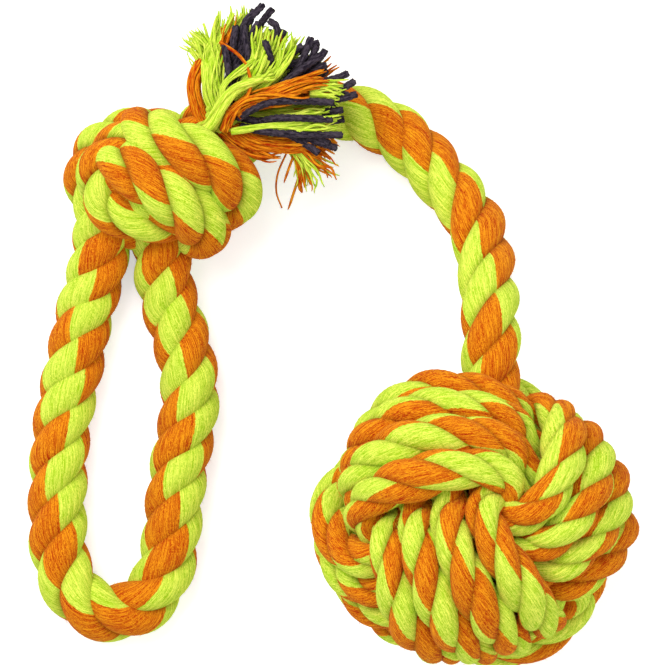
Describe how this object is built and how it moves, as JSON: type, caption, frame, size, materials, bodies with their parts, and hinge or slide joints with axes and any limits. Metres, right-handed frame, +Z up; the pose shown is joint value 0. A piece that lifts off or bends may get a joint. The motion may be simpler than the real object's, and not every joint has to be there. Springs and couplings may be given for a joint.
{
  "type": "rope dog toy",
  "caption": "Cotton rope dog toy: a hand loop and a knot with a frayed tassel, joined by a bent rope to a woven monkey's fist ball.",
  "frame": {"origin": "centre of the box round the whole toy, on the surface that it lies on", "axes": "+Z up off the surface, +Y from the hand loop's far end towards the knot, +X towards the ball"},
  "size_m": [0.1956, 0.2115, 0.0928],
  "materials": {
    "cotton_orange": "matte brushed cotton yarn",
    "cotton_lime": "matte brushed cotton yarn",
    "filler_dark": "matte twisted cord",
    "core_filling": "matte packed fibre"
  },
  "bodies": {
    "knot": {"knot_heart": "core_filling", "knot_front_upper": "cotton_lime", "knot_front_lower": "cotton_orange", "knot_side_outer": "cotton_lime", "knot_side_inner": "cotton_orange", "tail_rope": "cotton_lime"},
    "handle": {"handle_loop": "cotton_orange"},
    "ball": {"throw_rope": "cotton_lime", "ball_core": "core_filling", "ball_band_upper_left": "cotton_orange", "ball_band_right": "cotton_lime", "ball_band_bottom": "cotton_orange"},
    "tassel": {"tassel_root": "cotton_lime", "orange_yarn_1_1": "cotton_orange", "lime_yarn_1_2": "cotton_lime", "lime_yarn_1_3": "cotton_lime", "lime_yarn_1_4": "cotton_lime", "orange_yarn_1_5": "cotton_orange", "filler_cord_2_1": "filler_dark", "orange_yarn_2_2": "cotton_orange", "filler_cord_2_3": "filler_dark", "lime_yarn_2_4": "cotton_lime", "lime_yarn_2_5": "cotton_lime", "orange_yarn_3_1": "cotton_orange", "filler_cord_3_2": "filler_dark", "filler_cord_3_3": "filler_dark", "filler_cord_3_4": "filler_dark", "lime_yarn_3_5": "cotton_lime", "lime_yarn_4_1": "cotton_lime", "filler_cord_4_2": "filler_dark", "orange_yarn_4_3": "cotton_orange", "filler_cord_4_4": "filler_dark", "lime_yarn_4_5": "cotton_lime", "filler_cord_5_1": "filler_dark", "orange_yarn_5_2": "cotton_orange", "filler_cord_5_3": "filler_dark", "filler_cord_5_4": "filler_dark", "lime_yarn_5_5": "cotton_lime"}
  },
  "joints": [
    {"name": "handle_swing", "type": "hinge", "parent": "knot", "child": "handle", "pos_m": [-0.0648, 0.026, 0.0102], "axis": [0, 0, 1], "range_deg": [-25, 5], "deforming": ["handle_loop"]},
    {"name": "ball_swing", "type": "hinge", "parent": "knot", "child": "ball", "pos_m": [0.0216, 0.0624, 0.0074], "axis": [0, 0, 1], "range_deg": [-8, 30], "deforming": ["throw_rope"]},
    {"name": "tassel_swing", "type": "hinge", "parent": "knot", "child": "tassel", "pos_m": [-0.035, 0.0695, 0.0257], "axis": [0, 0, 1], "range_deg": [-15, 20]}
  ]
}
